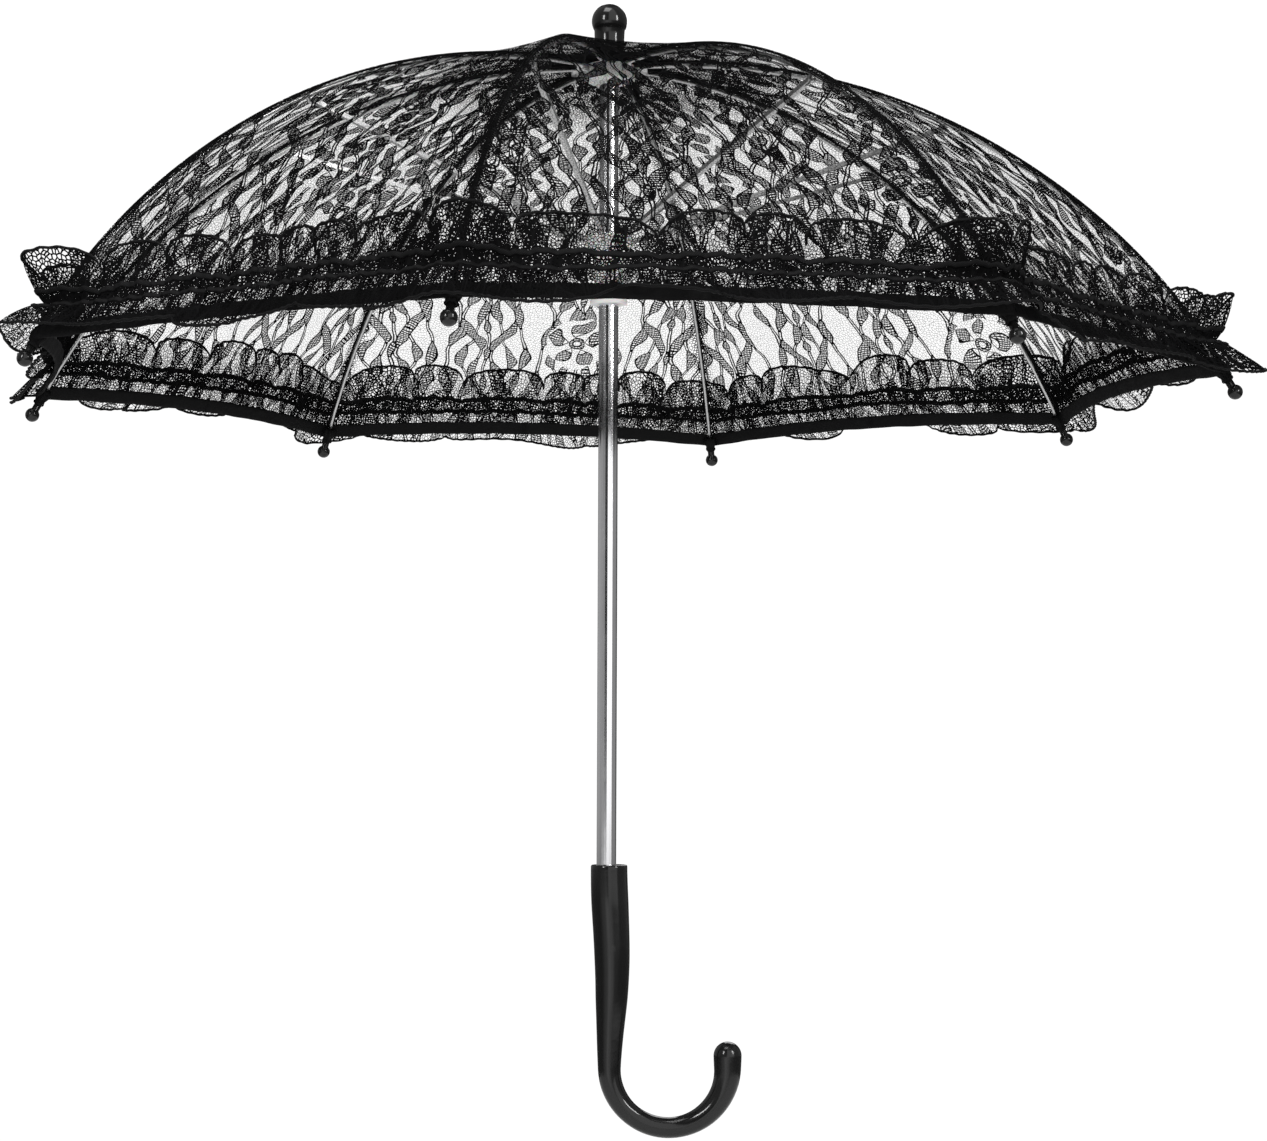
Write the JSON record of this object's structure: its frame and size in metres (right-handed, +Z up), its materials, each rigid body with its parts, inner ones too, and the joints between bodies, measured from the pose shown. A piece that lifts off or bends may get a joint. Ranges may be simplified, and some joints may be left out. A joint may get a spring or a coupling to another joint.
{
  "type": "lace parasol",
  "caption": "Small open parasol with a domed lace canopy, a gathered lace hem ruffle, a slim metal shaft, folding ribs and a crook handle.",
  "frame": {"origin": "on the shaft's axis, at the middle of the grip, 45 mm below the handle's rim", "axes": "+Z up the shaft to the finial, +X towards the open side of the crook"},
  "size_m": [0.6316, 0.6316, 0.5814],
  "materials": {
    "chrome": "bright plated tube",
    "steel": "bright drawn wire and channel",
    "gloss_black": "glossy black",
    "white_plastic": "white satin moulding",
    "lace": "black open lace",
    "lace_trim": "black gathered lace edging"
  },
  "bodies": {
    "shaft": {"shaft_tube": "chrome", "handle": "gloss_black", "finial": "gloss_black", "crown_washer": "gloss_black", "top_notch": "white_plastic", "notch_wire": "steel"},
    "open_catch": {"open_catch": "steel"},
    "closed_catch": {"closed_catch": "steel"},
    "runner": {"runner": "white_plastic", "runner_wire": "steel"},
    "rib_1": {"rib_1": "steel", "rib_tip_1": "gloss_black", "link_rivet_1": "steel", "canopy_gore_1": "lace", "ruffle_1": "lace_trim"},
    "stretcher_1": {"stretcher_1": "steel"},
    "rib_2": {"rib_2": "steel", "rib_tip_2": "gloss_black", "link_rivet_2": "steel", "canopy_gore_2": "lace", "ruffle_2": "lace_trim"},
    "stretcher_2": {"stretcher_2": "steel"},
    "rib_3": {"rib_3": "steel", "rib_tip_3": "gloss_black", "link_rivet_3": "steel", "canopy_gore_3": "lace", "ruffle_3": "lace_trim"},
    "stretcher_3": {"stretcher_3": "steel"},
    "rib_4": {"rib_4": "steel", "rib_tip_4": "gloss_black", "link_rivet_4": "steel", "canopy_gore_4": "lace", "ruffle_4": "lace_trim"},
    "stretcher_4": {"stretcher_4": "steel"},
    "rib_5": {"rib_5": "steel", "rib_tip_5": "gloss_black", "link_rivet_5": "steel", "canopy_gore_5": "lace", "ruffle_5": "lace_trim"},
    "stretcher_5": {"stretcher_5": "steel"},
    "rib_6": {"rib_6": "steel", "rib_tip_6": "gloss_black", "link_rivet_6": "steel", "canopy_gore_6": "lace", "ruffle_6": "lace_trim"},
    "stretcher_6": {"stretcher_6": "steel"},
    "rib_7": {"rib_7": "steel", "rib_tip_7": "gloss_black", "link_rivet_7": "steel", "canopy_gore_7": "lace", "ruffle_7": "lace_trim"},
    "stretcher_7": {"stretcher_7": "steel"},
    "rib_8": {"rib_8": "steel", "rib_tip_8": "gloss_black", "link_rivet_8": "steel", "canopy_gore_8": "lace", "ruffle_8": "lace_trim"},
    "stretcher_8": {"stretcher_8": "steel"}
  },
  "joints": [
    {"name": "runner_slide", "type": "slide", "parent": "shaft", "child": "runner", "axis": [0, 0, 1], "range_m": [-0.2286, 0]},
    {"name": "open_catch_press", "type": "slide", "parent": "shaft", "child": "open_catch", "axis": [-0.184, 0.9829, 0], "range_m": [-0.0022, 0], "stiffness_N_per_m": 400, "springref_m": 0.001},
    {"name": "closed_catch_press", "type": "slide", "parent": "shaft", "child": "closed_catch", "axis": [-0.184, 0.9829, 0], "range_m": [-0.0022, 0], "stiffness_N_per_m": 400, "springref_m": 0.001},
    {"name": "rib_1_fold", "type": "hinge", "parent": "shaft", "child": "rib_1", "pos_m": [0.00838, 0.00546, 0.4535], "axis": [-0.5461, 0.8377, 0], "range_deg": [-0.2, 58.22], "deforming": ["canopy_gore_1", "ruffle_1"]},
    {"name": "stretcher_1_fold", "type": "hinge", "parent": "rib_1", "child": "stretcher_1", "pos_m": [0.14409, 0.09393, 0.41709], "axis": [-0.5461, 0.8377, 0], "range_deg": [-111.51, 0.2]},
    {"name": "rib_2_fold", "type": "hinge", "parent": "shaft", "child": "rib_2", "pos_m": [0.00206, 0.00979, 0.4535], "axis": [-0.9785, 0.2062, 0], "range_deg": [-0.2, 58.22], "deforming": ["canopy_gore_2", "ruffle_2"]},
    {"name": "stretcher_2_fold", "type": "hinge", "parent": "rib_2", "child": "stretcher_2", "pos_m": [0.03547, 0.1683, 0.41709], "axis": [-0.9785, 0.2062, 0], "range_deg": [-111.51, 0.2]},
    {"name": "rib_3_fold", "type": "hinge", "parent": "shaft", "child": "rib_3", "pos_m": [-0.00546, 0.00838, 0.4535], "axis": [-0.8377, -0.5461, 0], "range_deg": [-0.2, 58.22], "deforming": ["canopy_gore_3", "ruffle_3"]},
    {"name": "stretcher_3_fold", "type": "hinge", "parent": "rib_3", "child": "stretcher_3", "pos_m": [-0.09393, 0.14409, 0.41709], "axis": [-0.8377, -0.5461, 0], "range_deg": [-111.51, 0.2]},
    {"name": "rib_4_fold", "type": "hinge", "parent": "shaft", "child": "rib_4", "pos_m": [-0.00979, 0.00206, 0.4535], "axis": [-0.2062, -0.9785, 0], "range_deg": [-0.2, 58.22], "deforming": ["canopy_gore_4", "ruffle_4"]},
    {"name": "stretcher_4_fold", "type": "hinge", "parent": "rib_4", "child": "stretcher_4", "pos_m": [-0.1683, 0.03547, 0.41709], "axis": [-0.2062, -0.9785, 0], "range_deg": [-111.51, 0.2]},
    {"name": "rib_5_fold", "type": "hinge", "parent": "shaft", "child": "rib_5", "pos_m": [-0.00838, -0.00546, 0.4535], "axis": [0.5461, -0.8377, 0], "range_deg": [-0.2, 58.22], "deforming": ["canopy_gore_5", "ruffle_5"]},
    {"name": "stretcher_5_fold", "type": "hinge", "parent": "rib_5", "child": "stretcher_5", "pos_m": [-0.14409, -0.09393, 0.41709], "axis": [0.5461, -0.8377, 0], "range_deg": [-111.51, 0.2]},
    {"name": "rib_6_fold", "type": "hinge", "parent": "shaft", "child": "rib_6", "pos_m": [-0.00206, -0.00979, 0.4535], "axis": [0.9785, -0.2062, 0], "range_deg": [-0.2, 58.22], "deforming": ["canopy_gore_6", "ruffle_6"]},
    {"name": "stretcher_6_fold", "type": "hinge", "parent": "rib_6", "child": "stretcher_6", "pos_m": [-0.03547, -0.1683, 0.41709], "axis": [0.9785, -0.2062, 0], "range_deg": [-111.51, 0.2]},
    {"name": "rib_7_fold", "type": "hinge", "parent": "shaft", "child": "rib_7", "pos_m": [0.00546, -0.00838, 0.4535], "axis": [0.8377, 0.5461, 0], "range_deg": [-0.2, 58.22], "deforming": ["canopy_gore_7", "ruffle_7"]},
    {"name": "stretcher_7_fold", "type": "hinge", "parent": "rib_7", "child": "stretcher_7", "pos_m": [0.09393, -0.14409, 0.41709], "axis": [0.8377, 0.5461, 0], "range_deg": [-111.51, 0.2]},
    {"name": "rib_8_fold", "type": "hinge", "parent": "shaft", "child": "rib_8", "pos_m": [0.00979, -0.00206, 0.4535], "axis": [0.2062, 0.9785, 0], "range_deg": [-0.2, 58.22], "deforming": ["canopy_gore_8", "ruffle_8"]},
    {"name": "stretcher_8_fold", "type": "hinge", "parent": "rib_8", "child": "stretcher_8", "pos_m": [0.1683, -0.03547, 0.41709], "axis": [0.2062, 0.9785, 0], "range_deg": [-111.51, 0.2]}
  ],
  "couplings": [
    {"joint": "rib_1_fold", "follows": "runner_slide", "rad_per_m": -4.4301},
    {"joint": "stretcher_1_fold", "follows": "runner_slide", "rad_per_m": 8.4981},
    {"joint": "rib_2_fold", "follows": "runner_slide", "rad_per_m": -4.4301},
    {"joint": "stretcher_2_fold", "follows": "runner_slide", "rad_per_m": 8.4981},
    {"joint": "rib_3_fold", "follows": "runner_slide", "rad_per_m": -4.4301},
    {"joint": "stretcher_3_fold", "follows": "runner_slide", "rad_per_m": 8.4981},
    {"joint": "rib_4_fold", "follows": "runner_slide", "rad_per_m": -4.4301},
    {"joint": "stretcher_4_fold", "follows": "runner_slide", "rad_per_m": 8.4981},
    {"joint": "rib_5_fold", "follows": "runner_slide", "rad_per_m": -4.4301},
    {"joint": "stretcher_5_fold", "follows": "runner_slide", "rad_per_m": 8.4981},
    {"joint": "rib_6_fold", "follows": "runner_slide", "rad_per_m": -4.4301},
    {"joint": "stretcher_6_fold", "follows": "runner_slide", "rad_per_m": 8.4981},
    {"joint": "rib_7_fold", "follows": "runner_slide", "rad_per_m": -4.4301},
    {"joint": "stretcher_7_fold", "follows": "runner_slide", "rad_per_m": 8.4981},
    {"joint": "rib_8_fold", "follows": "runner_slide", "rad_per_m": -4.4301},
    {"joint": "stretcher_8_fold", "follows": "runner_slide", "rad_per_m": 8.4981}
  ]
}
